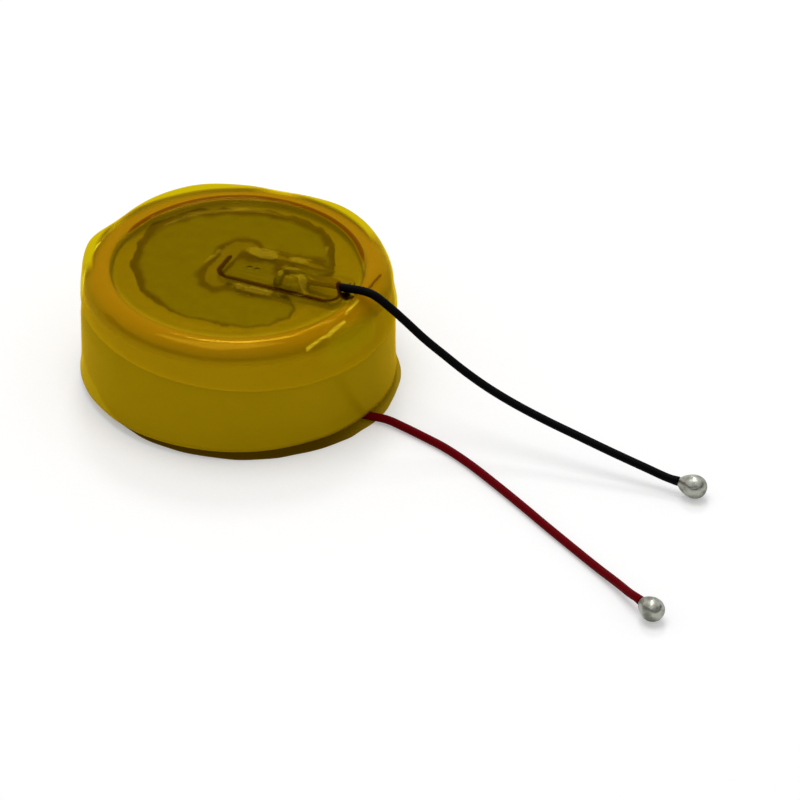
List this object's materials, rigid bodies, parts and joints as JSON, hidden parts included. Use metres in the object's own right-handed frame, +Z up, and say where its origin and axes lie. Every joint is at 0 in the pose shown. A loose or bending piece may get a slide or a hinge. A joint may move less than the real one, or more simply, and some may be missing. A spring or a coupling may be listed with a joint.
{
  "type": "lithium coin cell",
  "caption": "Round lithium-ion coin cell wrapped in amber film, with a welded strip and an insulated flying lead at each pole, each lead ending in a solder bead.",
  "frame": {"origin": "on the surface that the cell rests on, under the axis of the cell", "axes": "+Z up along the axis of the cell, negative face up; the leads run towards +X and -Y"},
  "size_m": [0.032, 0.0311, 0.0074],
  "materials": {
    "amber_film": "clear amber polyimide film, glossy",
    "amber_sleeve": "clear amber shrink film, satin gloss",
    "plated_steel": "nickel-plated steel, satin",
    "gasket": "moulded polypropylene, natural",
    "electrodes": "wound coated foils and separator",
    "insulator": "thin plastic sheet",
    "aluminium_foil": "rolled foil",
    "nickel": "rolled nickel strip",
    "solder": "solder, dull bright",
    "tinned_copper": "stranded copper, partly tinned",
    "black_insulation": "extruded insulation, satin",
    "red_insulation": "extruded insulation, satin"
  },
  "bodies": {
    "root": {"bottom_film": "amber_film", "side_sleeve": "amber_sleeve", "top_film": "amber_film", "positive_can": "plated_steel", "sealing_gasket": "gasket", "negative_cap": "plated_steel", "electrode_winding": "electrodes", "lower_insulator": "insulator", "upper_insulator": "insulator", "cathode_foil_tab": "aluminium_foil", "anode_foil_tab": "nickel", "negative_strip": "nickel", "negative_solder": "solder", "negative_strands": "tinned_copper", "negative_lead": "black_insulation", "negative_bead": "solder", "positive_strip": "nickel", "positive_solder": "solder", "positive_strands": "tinned_copper", "positive_lead": "red_insulation", "positive_bead": "solder"}
  },
  "joints": []
}
